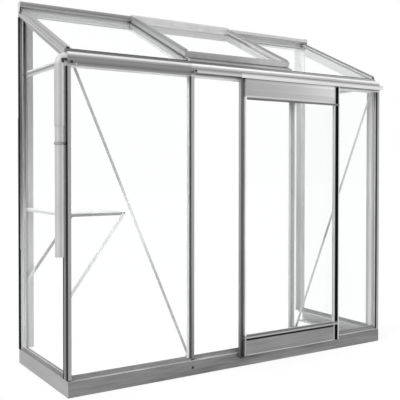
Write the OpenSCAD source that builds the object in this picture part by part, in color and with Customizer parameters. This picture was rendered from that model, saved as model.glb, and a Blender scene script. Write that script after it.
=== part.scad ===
// Three-bay lean-to greenhouse in mill-finish aluminium and clear glass, with one sliding door.
// Millimetres. X runs along the front, Y from the front glass towards the house wall, Z up.
// Origin: middle of the front, on the outer plane of the front glass, at the underside of the plinth.

/* [Footprint] */
// Width over the plinth and the gutter
house_w = 2270; // [1900:10:3000]
// Depth from the outer face of the front glass to the house wall
house_d = 787; // [650:1:1100]
// Distance of the two glazing bars from the middle
bay_x = 378; // [330:1:420]

/* [Plinth] */
// Height of the plinth
plinth_h = 86; // [60:1:140]
// How far the plinth stands in front of the glass
plinth_out = 23; // [18:1:34]
// Depth of the plinth profile, front to back
plinth_d = 50; // [46:1:80]
// Wall of the plinth profile
plinth_wall = 2.5; // [1.5:0.1:4]
// Height of the lips along the open inner side of the plinth
plinth_lip = 14; // [6:1:20]
// Depth of the two stiffening ribs inside the plinth
plinth_rib = 9; // [4:1:14]

/* [Heights and roof] */
// Underside of the gutter
gutter_z = 1727; // [1690:1:1740]
// Height of the top line of the roof bars above the front glass
eaves_z = 1824; // [1812:1:1850]
// Slope of the roof in degrees
roof_pitch = 24.6; // [18:0.1:30]
// Height of the top edge of the ridge plate above the roof bars at the wall
ridge_rise = 24; // [24:1:50]

/* [Glass] */
// Thickness of every pane
glass_t = 3; // [3:0.5:6]
// Gap round the edge of a pane
pane_gap = 1; // [0.5:0.1:2]
// Thickness of the glazing tape between a pane and its seat
seat_gap = 0.3; // [0.1:0.1:0.5]

/* [Profiles] */
// Face width of a glazing bar web
web_w = 20; // [16:1:28]
// Wall of the hollow webs and cores
wall_t = 2; // [1.2:0.1:3]
// Thickness of the flanges that carry the panes
flange_t = 2.5; // [1.5:0.1:4]
// Width of the flange of a front glazing bar
bar_flange_w = 50; // [40:1:70]
// Width of the flange of a roof bar
roof_flange_w = 38; // [30:1:50]
// Depth of a roof bar
roof_bar_d = 43; // [30:1:50]
// Depth of a gable rafter
gable_rafter_d = 53; // [46:1:56]
// How far the top of a roof bar stands above the glass
cap_rise = 8; // [5:0.5:14]
// How far a gable rafter reaches inside the outer plane of the end glass
rafter_in = 6; // [6:0.5:10]
// Width of the flange of a gable rafter
rafter_flange_w = 13; // [9:1:25]
// Width of the front face of a corner post
corner_face = 18; // [14:0.5:20]
// How far the front of a corner post stands in from its side
corner_step = 1; // [1:0.5:4]
// Depth of the side of a corner post behind the front glass
corner_side = 42; // [30:1:60]
// Width of the end flanges that carry the end panes
end_flange_w = 25; // [18:1:30]
// Width of the bolt slot in the bars
bolt_slot = 7; // [5:0.5:9]

/* [Sill] */
// Height of the sill ledge that the panes stand on
sill_h = 12; // [8:1:18]
// Height of the leg behind the panes
sill_leg_h = 22; // [18:1:34]
// How far the sill stands in front of the glass
sill_out = 4; // [2:0.5:8]
// Depth of the sill foot behind the glass
sill_foot = 26; // [16:1:26]

/* [Gutter] */
// Height of the gutter front, roll included
gutter_h = 74; // [60:1:84]
// Outer radius of the roll along the gutter front
roll_r = 10; // [8:0.5:12]
// How far the roll stands in front of the gutter face
roll_out = 4.5; // [0:0.5:8]
// Wall of the gutter
gutter_wall = 2.5; // [1.5:0.1:3.5]
// Distance of the gutter back from the outer face of the front glass
gutter_back = 20; // [16:1:22]
// Height of the leg that holds the heads of the front panes
head_leg_h = 6; // [6:1:30]

/* [Downpipe] */
// Outer radius of the outlet bend and the lower pipe
pipe_r = 23; // [18:0.5:23]
// Wall of the pipes
pipe_wall = 2; // [1.2:0.1:3]
// Height of the outlet's lowest point above the underside of the gutter
outlet_lift = 25; // [2:1:26]
// Centreline radius of the outlet bend
bend_r = 37; // [30:1:50]
// Clearance between one pipe and the socket over it
pipe_fit = 0.3; // [0.2:0.05:0.5]
// Lower end of the upper pipe
socket_z = 1415; // [1200:5:1600]
// Overlap of the two pipes
socket_lap = 45; // [30:5:80]
// Lower end of the downpipe
pipe_end_z = 737; // [400:1:1100]
// Height of the pipe clip
clip_z = 1318; // [1180:1:1380]
// Height of the clip band
clip_h = 14; // [10:1:24]

/* [End walls] */
// Underside of the end ties
tie_z = 1750; // [1600:1:1752]
// Height of the end ties
tie_h = 33; // [24:1:34]
// Depth of the end ties
tie_d = 15; // [10:1:25]
// Width of the wall flange of the wall posts
wall_flange_w = 70; // [45:1:80]
// Width of the front braces
brace_w = 15; // [10:1:25]
// Thickness of the braces and struts
strap_t = 3; // [2:0.5:5]

/* [Ridge] */
// Height of the ridge plate against the wall
ridge_plate_h = 85; // [75:1:120]
// How far the ridge hood reaches out from the wall
hood_out = 42; // [36:1:55]
// Height of the nose of the hood
hood_nose = 22; // [12:1:24]
// How far the lower flange reaches out from the wall
drip_out = 30; // [20:1:34]
// Depth of the lower flange below the top of the ridge plate
drip_drop = 21; // [18:1:21]
// Thickness of the end caps
cap_t = 2.5; // [1.5:0.5:4]

/* [Roof vent] */
// Height of the vent frame above the roof bars
vent_h = 40; // [28:1:44]
// Height of the front bar of the vent
vent_front_h = 32; // [22:1:38]
// Distance up the slope from the eaves to the vent
vent_s = 60; // [45:1:120]
// Width of the front and rear bars of the vent, up the slope
vent_rail = 18; // [12:1:30]
// Wall of the vent bars
vent_wall = 2; // [1.5:0.1:3]
// Height of the hinge bar above the ridge hood
hinge_rise = 8; // [5:1:20]
// Length of the hinge bar, front to back
hinge_d = 27; // [20:1:36]
// Height of the front leg of the hinge bar
hinge_leg = 49; // [40:1:50]

/* [Sliding door] */
// Width of the door
door_w = 796; // [700:1:860]
// Lower edge of the door above the ground
door_z = 66; // [20:1:70]
// Middle of the door at rest, right of the middle of the house
door_x = 338; // [0:1:384]
// Depth of the door stiles
door_d = 21.5; // [18:0.5:26]
// Gap between the back of the door and the front of the plinth
door_gap = 5.5; // [5:0.5:10]
// Face width of a stile
stile_w = 43; // [40:1:60]
// Width of each lip of a stile
stile_lip = 9.5; // [9:0.5:14]
// Depth of the channel down the face of a stile
stile_channel = 13; // [8:0.5:14]
// Height of the header panel
header_h = 107; // [70:1:140]
// Radius of the lower corners of the header panel
header_r = 18; // [6:1:30]
// Height of the top edge of the kick panel above the foot of the door
kick_h = 92; // [80:1:200]
// Height of the kick panel's lower edge above the foot of the door
kick_lift = 1; // [0:1:30]
// Radius of the lower corners of the kick panel
kick_r = 14; // [6:1:24]
// Height of the kick rail
kick_rail_h = 23; // [16:1:36]
// Gap between the kick panel and the kick rail
kick_seam = 8; // [4:1:12]
// Height of the rail behind the upper edge of the kick panel
kick_back_h = 24; // [16:1:36]
// Height of the guides behind the foot of the door
guide_h = 24; // [12:1:28]
// Thickness of the header and kick sheets
sheet_t = 2; // [1:0.5:3]
// How far the sheets sit behind the face of the stiles
sheet_back = 2; // [1:0.5:4]
// Depth of the glass groove in the stiles
groove_d = 7; // [5:0.5:9]
// Clearance of the door glass in its groove
groove_fit = 0.3; // [0.2:0.1:0.5]

/* [Door track] */
// Left end of the track, right of the middle of the left glazing bar
track_start = 6; // [0:1:30]
// Right end of the track, inside the end of the gutter
track_inset = 7; // [1:1:35]
// Height of the track
track_h = 22; // [22:1:30]
// How far the track face stands in front of the door face
track_out = 12; // [10:0.5:16]
// Wall of the track
track_wall = 2; // [1.5:0.1:2.5]
// Height of the top of the track above the underside of the gutter
track_rise = 37; // [24:1:44]
// Width of the rear running lip
track_lip = 10; // [8:0.5:12]
// Gap between the top of the door and the track
head_gap = 7; // [5:0.5:10]
// Radius of the rollers
roller_r = 8; // [6.5:0.5:8]
// Width of a roller
roller_w = 5; // [4:0.5:5.5]
// Width of the slot in the bottom of the track
track_slot = 14; // [14:0.5:16]
// Width of a roller hanger
hanger_w = 30; // [20:1:50]
// Thickness of a roller hanger
hanger_t = 4; // [2:0.5:4]
// Distance of the rollers from the edges of the door
roller_inset = 70; // [60:1:120]

/* [Shelf] */
// Height of the top of the shelf
shelf_z = 955; // [700:1:1300]
// Depth of the shelf frame
shelf_frame_h = 15; // [12:1:25]
// How far the shelf reaches from the end glass
shelf_reach = 346; // [250:1:420]
// Front edge of the shelf behind the front glass
shelf_y = 70; // [62:1:160]
// Gap between the back edge of the shelf and the house wall
shelf_back = 37; // [35:1:120]
// Thickness of the shelf board
shelf_t = 3; // [2:0.5:6]
// Width of the shelf rails
shelf_rail = 15; // [10:1:25]
// Width of the shelf struts
strut_w = 18; // [12:1:25]
// Height where the struts meet the posts
strut_z = 500; // [350:1:620]

/* [Hidden] */

round_fn = 48;
cut = 1;
far = 4000;
alu = [0.72, 0.73, 0.74];
bright_alu = [0.84, 0.85, 0.86];
dull_alu = [0.55, 0.56, 0.57];
black = [0.10, 0.10, 0.11];
clear = [0.86, 0.93, 0.94, 0.35];

// Planes of the end walls and of the seats behind the panes
end_x = house_w / 2 - plinth_out;
web_out = plinth_out;
seat_y = glass_t + seat_gap;
leg_y = seat_y + flange_t;
rafter_out = web_w - rafter_in;
core_out = plinth_out - corner_step;
core_in = corner_face - core_out;
core_back = seat_y + corner_side;
pane_top_n = -cap_rise;
pane_seat_n = -cap_rise - glass_t - seat_gap;
ledge_z = plinth_h + sill_h;

// The gutter stands on the posts and the roof bars butt against its back
gutter_front = -plinth_out;
gutter_top = gutter_z + gutter_h;
outlet_y = (gutter_front + gutter_back) / 2;
outlet_z = gutter_z + outlet_lift + pipe_r - pipe_wall;
pipe_x = -house_w / 2 - bend_r;
pipe_top_z = outlet_z - bend_r;
socket_r = pipe_r + pipe_fit + pipe_wall;

// Upper pane of an end wall stands on the fin of the end tie
fin_t = 5;
fin_z = tie_z + (tie_h - fin_t) / 2;

// Ridge plate
ridge_y = house_d - plinth_wall;
ridge_top = roof_z(house_d, 0) + ridge_rise;
hood_y = house_d - hood_out;
vent_back_y = hood_y - pane_gap - plinth_wall;

// Door: planes, ends and levels
door_back_y = -plinth_out - door_gap;
door_face_y = door_back_y - door_d;
door_left = door_x - door_w / 2;
track_z = gutter_z + track_rise - track_h;
door_top = track_z - head_gap;
track_face_y = door_face_y - track_out;
slot_y = door_face_y + door_d / 4;
track_back_y = slot_y + track_slot / 2 + track_lip;
track_left = track_start - bay_x;
track_right = house_w / 2 - track_inset;
channel_w = stile_w - 2 * stile_lip;
sheet_y = door_face_y + sheet_back;
door_glass_y = door_face_y + stile_channel;
groove_w = glass_t + 2 * groove_fit;
kick_top = door_z + kick_h;
roller_z = track_z + track_wall + roller_r;

// Shelf: planes and ends, measured from the end glass
shelf_x0 = -end_x + leg_y;
shelf_x1 = -end_x + glass_t + shelf_reach;
shelf_y1 = house_d - shelf_back;
shelf_under = shelf_z - shelf_t - shelf_frame_h;

function roof_z(y, n) = eaves_z + y * tan(roof_pitch) + n / cos(roof_pitch);

// Draws a left-hand piece and its mirror image, or only one of them
module on_side(side) {
    if (side > 0) mirror([1, 0, 0]) children();
    else children();
}

// Extrudes a section drawn as depth and height along X
module along_x(x0, x1) {
    translate([x0, 0, 0]) rotate([90, 0, 90]) linear_extrude(x1 - x0) children();
}

// Extrudes a section drawn as inward distance and height along the left end wall
module along_end(y0, y1) {
    translate([-end_x, y1, 0]) rotate([90, 0, 0]) linear_extrude(y1 - y0) children();
}

// Extrudes a section drawn across and normal to the roof, up the slope at the given X
module up_roof(x, y0, y1) {
    length = house_d / cos(roof_pitch) + far / 8;
    intersection() {
        translate([x, 0, eaves_z]) rotate([roof_pitch, 0, 0]) translate([0, length - far / 16, 0])
            rotate([90, 0, 0]) linear_extrude(length) children();
        translate([x - far / 4, y0, 0]) cube([far / 2, y1 - y0, far]);
    }
}

// A slab of the roof between two distances up the slope
module roof_slab(x0, x1, s0, s1, n0, n1) {
    translate([0, 0, eaves_z]) rotate([roof_pitch, 0, 0])
        translate([x0, s0, n0]) cube([x1 - x0, s1 - s0, n1 - n0]);
}

// Everything below a plane parallel to the roof
module below_roof(n) {
    along_x(-far / 2, far / 2)
        polygon([[-far / 8, 0], [far / 2, 0], [far / 2, roof_z(far / 2, n)],
            [-far / 8, roof_z(-far / 8, n)]]);
}

module rect(x0, y0, x1, y1) {
    translate([x0, y0]) square([x1 - x0, y1 - y0]);
}

// Open channel of the plinth, depth from the outer face and height
module plinth_section() {
    rect(0, 0, plinth_wall, plinth_h);
    rect(0, 0, plinth_d, plinth_wall);
    rect(0, plinth_h - plinth_wall, plinth_d, plinth_h);
    rect(plinth_d - plinth_wall, 0, plinth_d, plinth_lip);
    rect(plinth_d - plinth_wall, plinth_h - plinth_lip, plinth_d, plinth_h);
    for (i = [1, 2])
        rect(0, plinth_h * i / 3 - plinth_wall / 2, plinth_rib, plinth_h * i / 3 + plinth_wall / 2);
}

module plinth_front() {
    half_w = house_w / 2;
    color(dull_alu) intersection() {
        along_x(-half_w, half_w) translate([-plinth_out, 0]) plinth_section();
        linear_extrude(plinth_h) polygon([[-half_w, -plinth_out], [half_w, -plinth_out],
            [half_w - plinth_d, plinth_d - plinth_out], [plinth_d - half_w, plinth_d - plinth_out]]);
    }
}

module plinth_end(side) {
    half_w = house_w / 2;
    color(dull_alu) on_side(side) intersection() {
        along_end(-plinth_out, house_d) translate([-plinth_out, 0]) plinth_section();
        linear_extrude(plinth_h) polygon([[-half_w, -plinth_out], [plinth_d - half_w, plinth_d - plinth_out],
            [plinth_d - half_w, house_d], [-half_w, house_d]]);
    }
}

// Sill: hollow ledge under the pane, leg behind it and foot on the plinth
module sill_section() {
    difference() {
        rect(-sill_out, plinth_h, leg_y, ledge_z);
        rect(wall_t - sill_out, plinth_h + wall_t, leg_y - wall_t, ledge_z - wall_t);
    }
    rect(leg_y, plinth_h, leg_y + flange_t, plinth_h + sill_leg_h);
    rect(leg_y, plinth_h, sill_foot, plinth_h + wall_t);
}

module front_sill() {
    color(alu) difference() {
        along_x(core_in - end_x, end_x - core_in) sill_section();
        for (side = [-1, 1]) on_side(side)
            translate([core_in - end_x - cut, seat_y, plinth_h - cut])
                cube([leg_y - core_in + cut, sill_foot, sill_leg_h + 2 * cut]);
    }
}

module end_sills() {
    color(alu) for (side = [-1, 1])
        on_side(side) along_end(core_back, house_d - web_w) sill_section();
}

// Space that the sill ledge takes, for coping the bars and posts over it
module ledge_space_2d() {
    rect(-sill_out, plinth_h - cut, leg_y, ledge_z);
}

// Hollow web in front of the flange, with a bolt slot at the back
module glazing_bar_section() {
    difference() {
        rect(-web_w / 2, -web_out, web_w / 2, seat_y);
        rect(wall_t - web_w / 2, wall_t - web_out, web_w / 2 - wall_t, seat_y);
    }
    rect(-bar_flange_w / 2, seat_y, -bolt_slot / 2, leg_y);
    rect(bolt_slot / 2, seat_y, bar_flange_w / 2, leg_y);
}

module glazing_bar(side) {
    color(alu) on_side(side) difference() {
        translate([-bay_x, 0, plinth_h]) linear_extrude(gutter_z - plinth_h) glazing_bar_section();
        along_x(-bay_x - bar_flange_w, -bay_x + bar_flange_w) ledge_space_2d();
    }
}

// Corner post seen from above: front tube, wider side tube behind the front pane and the end flange
module corner_section() {
    difference() {
        union() {
            rect(-core_out, -web_out, core_in, seat_y);
            rect(-plinth_out, seat_y, leg_y, core_back);
        }
        rect(wall_t - core_out, wall_t - web_out, core_in - wall_t, seat_y);
        rect(wall_t - plinth_out, seat_y + wall_t, leg_y - wall_t, core_back - wall_t);
    }
    rect(seat_y, core_back, leg_y, core_back + end_flange_w);
}

module corner_post(side) {
    color(alu) on_side(side) difference() {
        intersection() {
            translate([-end_x, 0, plinth_h]) linear_extrude(eaves_z - plinth_h) corner_section();
            below_roof(-gable_rafter_d);
        }
        translate([-far / 2, -far / 2, gutter_z]) cube([far, far / 2 + gutter_back, far]);
        along_end(core_back, house_d) ledge_space_2d();
    }
}

// Wall post seen from above: web, pane flange and the flange on the house wall
module wall_post_section() {
    difference() {
        rect(-web_out, house_d - web_w, seat_y, house_d);
        rect(wall_t - web_out, house_d - web_w + wall_t, seat_y - wall_t, house_d - wall_t);
    }
    rect(seat_y, house_d - web_w - end_flange_w, leg_y, house_d);
    rect(leg_y, house_d - flange_t, wall_flange_w, house_d);
}

module wall_post(side) {
    color(alu) on_side(side) difference() {
        intersection() {
            translate([-end_x, 0, plinth_h]) linear_extrude(far) wall_post_section();
            below_roof(-gable_rafter_d);
        }
        along_end(core_back, house_d - web_w) ledge_space_2d();
        translate([-house_w, ridge_y, ridge_top - ridge_plate_h]) cube([house_w, house_d, ridge_plate_h]);
    }
}

// Eaves beam and gutter in one profile: trough, front roll, back wall and head leg
module gutter_section() {
    roll_z = gutter_top - roll_r;
    roll_y = gutter_front + roll_r - roll_out;
    rect(gutter_front, gutter_z, gutter_front + gutter_wall, roll_z - roll_r + gutter_wall);
    rect(gutter_front, gutter_z, gutter_back, gutter_z + gutter_wall);
    polygon([[gutter_back - gutter_wall, gutter_z], [gutter_back, gutter_z],
        [gutter_back, roof_z(gutter_back, pane_seat_n)],
        [gutter_back - gutter_wall, roof_z(gutter_back - gutter_wall, pane_seat_n)]]);
    rect(leg_y, gutter_z - head_leg_h, leg_y + flange_t, gutter_z);
    translate([roll_y, roll_z]) difference() {
        circle(r = roll_r, $fn = round_fn);
        circle(r = roll_r - gutter_wall, $fn = round_fn);
    }
}

module eaves_gutter() {
    half_w = house_w / 2;
    color(bright_alu) difference() {
        union() {
            difference() {
                along_x(-half_w, half_w) gutter_section();
                for (side = [-1, 1]) on_side(side)
                    translate([-half_w - cut, 0, gutter_z - head_leg_h - cut])
                        cube([half_w - end_x + leg_y + cut, gutter_back, head_leg_h + cut]);
            }
            for (side = [-1, 1]) on_side(side)
                along_x(-half_w, gutter_wall - half_w)
                    rect(gutter_front, gutter_z, gutter_back, gutter_top - roll_r);
        }
        translate([-half_w - cut, outlet_y, outlet_z]) rotate([0, 90, 0])
            cylinder(r = pipe_r - pipe_wall, h = gutter_wall + 2 * cut, $fn = round_fn);
    }
}

// Quarter bend from the end of the gutter down into the pipe
module gutter_outlet() {
    color(bright_alu) translate([-house_w / 2, outlet_y, pipe_top_z]) rotate([90, 0, 180])
        rotate_extrude(angle = 90, $fn = round_fn) translate([bend_r, 0]) difference() {
            circle(r = pipe_r, $fn = round_fn);
            circle(r = pipe_r - pipe_wall, $fn = round_fn);
        }
}

module tube(r, z0, z1) {
    translate([pipe_x, outlet_y, z0]) difference() {
        cylinder(r = r, h = z1 - z0, $fn = round_fn);
        translate([0, 0, -cut]) cylinder(r = r - pipe_wall, h = z1 - z0 + 2 * cut, $fn = round_fn);
    }
}

module downpipe() {
    color(bright_alu) {
        tube(pipe_r, pipe_end_z, socket_z + socket_lap);
        tube(socket_r, socket_z, pipe_top_z);
    }
}

// Band round the lower pipe with an arm to the corner post
module pipe_clip() {
    color(dull_alu) difference() {
        union() {
            translate([pipe_x, outlet_y, clip_z])
                cylinder(r = pipe_r + pipe_fit + strap_t, h = clip_h, $fn = round_fn);
            translate([pipe_x, seat_y, clip_z])
                cube([-house_w / 2 - pipe_x, strap_t, clip_h]);
        }
        translate([pipe_x, outlet_y, clip_z - cut])
            cylinder(r = pipe_r + pipe_fit, h = clip_h + 2 * cut, $fn = round_fn);
    }
}

// Hollow tie behind the end flanges, with a fin between the lower and the upper pane
module end_ties() {
    color(alu) for (side = [-1, 1]) on_side(side) {
        along_end(core_back, house_d - flange_t) difference() {
            rect(leg_y, tie_z, leg_y + tie_d, tie_z + tie_h);
            rect(leg_y + wall_t, tie_z + wall_t, leg_y + tie_d - wall_t, tie_z + tie_h - wall_t);
        }
        along_end(core_back + end_flange_w, house_d - web_w - end_flange_w)
            rect(-wall_t, fin_z, leg_y, fin_z + fin_t);
    }
}

// Gable rafter across and normal to the roof: core, end web and roof flange
module gable_section() {
    difference() {
        rect(-rafter_out, -gable_rafter_d, rafter_in, 0);
        rect(wall_t - rafter_out, wall_t - gable_rafter_d, rafter_in - wall_t, -wall_t);
    }
    rect(-plinth_out, -gable_rafter_d, -rafter_out, web_w - gable_rafter_d);
    rect(rafter_in, pane_seat_n - flange_t, rafter_in + rafter_flange_w, pane_seat_n);
}

module gable_rafter(side) {
    color(bright_alu) on_side(side) {
        up_roof(-end_x, gutter_back, ridge_y) gable_section();
        up_roof(-end_x, core_back + end_flange_w, house_d - web_w - end_flange_w)
            rect(seat_y, -gable_rafter_d - end_flange_w, leg_y, -gable_rafter_d);
    }
}

// Roof bar: cap above the panes, flange under them and a hollow web below
module roof_bar_section() {
    rect(-web_w / 2, pane_seat_n, web_w / 2, 0);
    rect(-roof_flange_w / 2, pane_seat_n - flange_t, roof_flange_w / 2, pane_seat_n);
    difference() {
        rect(-web_w / 2, -roof_bar_d, web_w / 2, pane_seat_n - flange_t);
        rect(wall_t - web_w / 2, wall_t - roof_bar_d, web_w / 2 - wall_t, pane_seat_n - flange_t);
        rect(-bolt_slot / 2, -roof_bar_d - cut, bolt_slot / 2, wall_t - roof_bar_d);
    }
}

module roof_bar(side) {
    color(bright_alu) on_side(side) up_roof(-bay_x, gutter_back, ridge_y) roof_bar_section();
}

// Plate on the house wall with a hood at the top and a flange over the glass
module ridge_section() {
    t = plinth_wall;
    drip_z = ridge_top - drip_drop;
    rect(ridge_y, ridge_top - ridge_plate_h, house_d, ridge_top);
    rect(hood_y, ridge_top - t, house_d, ridge_top);
    rect(hood_y, ridge_top - hood_nose, hood_y + t, ridge_top);
    rect(house_d - drip_out, drip_z - t, house_d, drip_z);
    rect(house_d - drip_out, drip_z - 3 * t, house_d - drip_out + t, drip_z);
}

module ridge_plate() {
    color(alu) along_x(-house_w / 2, house_w / 2) ridge_section();
}

module ridge_caps() {
    cap_z = ridge_top - 1.5 * hood_out;
    color(bright_alu) for (side = [-1, 1]) on_side(side)
        along_x(-house_w / 2 - cap_t, -house_w / 2) polygon([[hood_y, ridge_top],
            [house_d, ridge_top], [house_d, cap_z], [house_d - drip_out, cap_z],
            [hood_y, ridge_top - hood_nose - cap_t]]);
}

// Flat braces from the head of each corner post to the foot of the glazing bar
module front_braces() {
    top = [leg_y + 1.5 * brace_w - end_x, gutter_z - head_leg_h / 2];
    foot = [-bay_x - brace_w / 2, plinth_h + sill_leg_h - brace_w / 2];
    run = foot - top;
    color(dull_alu) for (side = [-1, 1]) on_side(side)
        translate([top[0], leg_y + flange_t + strap_t, top[1]]) rotate([90, 0, 0]) linear_extrude(strap_t)
            rotate(atan2(run[1], run[0])) rect(0, -brace_w / 2, norm(run), brace_w / 2);
}

module front_glass(side) {
    x0 = core_in - end_x + pane_gap;
    x1 = -bay_x - web_w / 2 - pane_gap;
    color(clear) on_side(side)
        translate([x0, 0, ledge_z + seat_gap])
            cube([x1 - x0, glass_t, gutter_z - ledge_z - seat_gap - pane_gap]);
}

// Lower pane and sloping gable pane of one end wall
module end_glass(side) {
    y0 = core_back + pane_gap;
    y1 = house_d - web_w - pane_gap;
    color(clear) on_side(side) translate([-end_x, 0, 0]) rotate([90, 0, 90]) linear_extrude(glass_t) {
        rect(y0, ledge_z + seat_gap, y1, fin_z - pane_gap);
        polygon([[y0, fin_z + fin_t + seat_gap], [y1, fin_z + fin_t + seat_gap],
            [y1, roof_z(y1, -gable_rafter_d) - pane_gap], [y0, roof_z(y0, -gable_rafter_d) - pane_gap]]);
    }
}

module roof_glass(side) {
    x0 = rafter_in - end_x + pane_gap;
    x1 = -bay_x - web_w / 2 - pane_gap;
    s0 = (gutter_back / 2) / cos(roof_pitch);
    s1 = (ridge_y - pane_gap + pane_seat_n * sin(roof_pitch)) / cos(roof_pitch);
    color(clear) on_side(side) roof_slab(x0, x1, s0, s1, pane_top_n - glass_t, pane_top_n);
}

// Fixed strip below the vent, with an upstand under the front bar
module vent_sill() {
    half_w = bay_x - web_w / 2 - pane_gap;
    s0 = (gutter_back / 2) / cos(roof_pitch);
    color(bright_alu) {
        roof_slab(-half_w, half_w, s0, vent_s + vent_rail, pane_seat_n, pane_top_n);
        roof_slab(-half_w, half_w, vent_s, vent_s + vent_rail / 2, pane_top_n, 0);
    }
}

// Bars of the vent drawn with their walls moved inwards by the given amount
module vent_bars(inset) {
    half_w = bay_x + web_w / 2;
    inner_w = bay_x - web_w / 2;
    s1 = vent_s + vent_rail;
    n0 = -inset;
    roof_slab(inset - half_w, half_w - inset, vent_s + inset, s1 - inset, n0, vent_front_h - inset);
    for (side = [-1, 1]) on_side(side)
        roof_slab(inset - half_w, -inner_w - inset, s1 + inset, far / 4, n0, vent_h - inset);
    intersection() {
        roof_slab(inset - inner_w, inner_w - inset, 0, far / 4, n0, vent_h - inset);
        translate([-half_w, vent_back_y - vent_rail + inset, 0])
            cube([2 * half_w, vent_rail - 2 * inset, far]);
    }
}

// Frame of the vent: side bars on the roof bars, front and rear bar, all open along the underside
module vent_frame() {
    half_w = bay_x + web_w / 2;
    color(bright_alu) difference() {
        vent_bars(0);
        vent_bars(vent_wall);
        translate([-half_w - cut, vent_back_y, 0]) cube([2 * half_w + 2 * cut, far, far]);
    }
}

// Bar hooked over the ridge hood, which the vent hangs from
module vent_hinge() {
    t = plinth_wall;
    top = ridge_top + hinge_rise;
    half_w = bay_x + web_w / 2;
    color(bright_alu) along_x(-half_w, half_w) {
        rect(vent_back_y, top - hinge_leg, vent_back_y + t, top);
        rect(vent_back_y, top - t, vent_back_y + hinge_d, top);
        rect(vent_back_y + hinge_d - t, ridge_top, vent_back_y + hinge_d, top);
    }
}

module vent_glass() {
    half_w = bay_x - web_w / 2;
    n0 = vent_front_h / 2;
    color(clear) intersection() {
        roof_slab(seat_gap - half_w, half_w - seat_gap, vent_s + vent_rail + seat_gap, far / 4,
            n0, n0 + glass_t);
        translate([-half_w, 0, 0]) cube([2 * half_w, vent_back_y - vent_rail - seat_gap, far]);
    }
}

// Track seen from the end: hood on the gutter face, front and back walls, two running lips
module track_section() {
    t = track_wall;
    track_top = track_z + track_h;
    rect(track_face_y, track_top - t, gutter_front, track_top);
    rect(track_face_y, track_z, track_face_y + t, track_top);
    rect(track_back_y, track_z, track_back_y + t, track_top);
    rect(track_face_y, track_z, slot_y - track_slot / 2, track_z + t);
    rect(slot_y + track_slot / 2, track_z, track_back_y + t, track_z + t);
}

module door_track() {
    color(bright_alu) along_x(track_left, track_right) track_section();
}

// Four rails of the shelf; the end rail lies along the flanges of the two posts
module shelf_frame() {
    z0 = shelf_under;
    h = shelf_frame_h;
    color(alu) {
        translate([shelf_x0, core_back, z0]) cube([shelf_rail, house_d - flange_t - core_back, h]);
        translate([shelf_x1 - shelf_rail, shelf_y, z0]) cube([shelf_rail, shelf_y1 - shelf_y, h]);
        for (y = [shelf_y, shelf_y1 - shelf_rail])
            translate([shelf_x0, y, z0]) cube([shelf_x1 - shelf_x0, shelf_rail, h]);
    }
}

module shelf_board() {
    color(bright_alu) translate([shelf_x0, shelf_y, shelf_z - shelf_t])
        cube([shelf_x1 - shelf_x0, shelf_y1 - shelf_y, shelf_t]);
}

// Flat strut from the outer corner of the shelf down to a foot on the post flange
module shelf_strut(y, foot_y0, foot_y1) {
    top = [shelf_x1 - strut_w / 2, shelf_under + shelf_frame_h / 2];
    foot = [shelf_x0 + strut_w / 2, strut_z];
    run = foot - top;
    translate([top[0], y + strap_t, top[1]]) rotate([90, 0, 0]) linear_extrude(strap_t)
        rotate(atan2(run[1], run[0])) rect(0, -strut_w / 2, norm(run), strut_w / 2);
    translate([shelf_x0, foot_y0, strut_z - strut_w]) cube([strap_t, foot_y1 - foot_y0, 2 * strut_w]);
}

module shelf_struts() {
    color(dull_alu) intersection() {
        union() {
            shelf_strut(shelf_y - strap_t, core_back, shelf_y);
            shelf_strut(shelf_y1, shelf_y1, house_d - flange_t);
        }
        translate([shelf_x0, 0, 0]) cube([shelf_x1 - shelf_x0, house_d, far]);
    }
}

// Stile seen from above, from its outer edge inwards: lip, channel, lip with glass groove
module stile_section() {
    difference() {
        rect(0, 0, stile_w, door_d);
        rect(stile_lip, -cut, stile_lip + channel_w, stile_channel);
        rect(wall_t, wall_t, stile_lip - wall_t, door_d - wall_t);
        rect(stile_w - groove_d, stile_channel - groove_fit, stile_w + cut,
            stile_channel - groove_fit + groove_w);
    }
}

module door_stile(side) {
    color(alu) translate([door_x, door_face_y, door_z]) on_side(side)
        translate([-door_w / 2, 0, 0]) linear_extrude(door_top - door_z) stile_section();
}

// Sheet between the stiles with two rounded lower corners, drawn as width and height
module sheet_outline(w, h, r) {
    difference() {
        rect(-w / 2, 0, w / 2, h);
        rect(-w / 2 - cut, -cut, r - w / 2, r);
        rect(w / 2 - r, -cut, w / 2 + cut, r);
    }
    for (x = [r - w / 2, w / 2 - r]) translate([x, r]) intersection() {
        circle(r = r, $fn = round_fn);
        rect(-r, -r, r, 0);
    }
}

module sheet(z0, h, r) {
    w = door_w - 2 * stile_w;
    translate([door_x, sheet_y + sheet_t, z0]) rotate([90, 0, 0])
        linear_extrude(sheet_t) sheet_outline(w, h, r);
}

// Header sheet with the top rail behind it and a return along its lower edge
module door_header() {
    w = door_w - 2 * stile_w;
    rail_h = header_h / 4;
    z0 = door_top - header_h;
    color(alu) {
        sheet(z0, header_h, header_r);
        translate([door_x - w / 2, sheet_y, door_top - rail_h])
            cube([w, door_back_y - sheet_y, rail_h]);
        translate([door_x + header_r - w / 2, sheet_y, z0])
            cube([w - 2 * header_r, door_glass_y - sheet_y - groove_fit, sheet_t]);
    }
}

// Rail over the kick panel; its ends close the channels of the stiles
module door_kick_rail() {
    w = door_w - 2 * stile_w;
    z0 = kick_top + kick_seam;
    color(bright_alu) {
        difference() {
            translate([door_x - w / 2, door_face_y, z0]) cube([w, door_d, kick_rail_h]);
            translate([door_x - w / 2 - cut, door_glass_y - groove_fit, z0 + kick_rail_h / 2])
                cube([w + 2 * cut, groove_w, kick_rail_h]);
        }
        for (x = [door_left + stile_lip, door_left + door_w - stile_lip - channel_w])
            translate([x, door_face_y, z0]) cube([channel_w, stile_channel, kick_rail_h]);
    }
}

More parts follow.
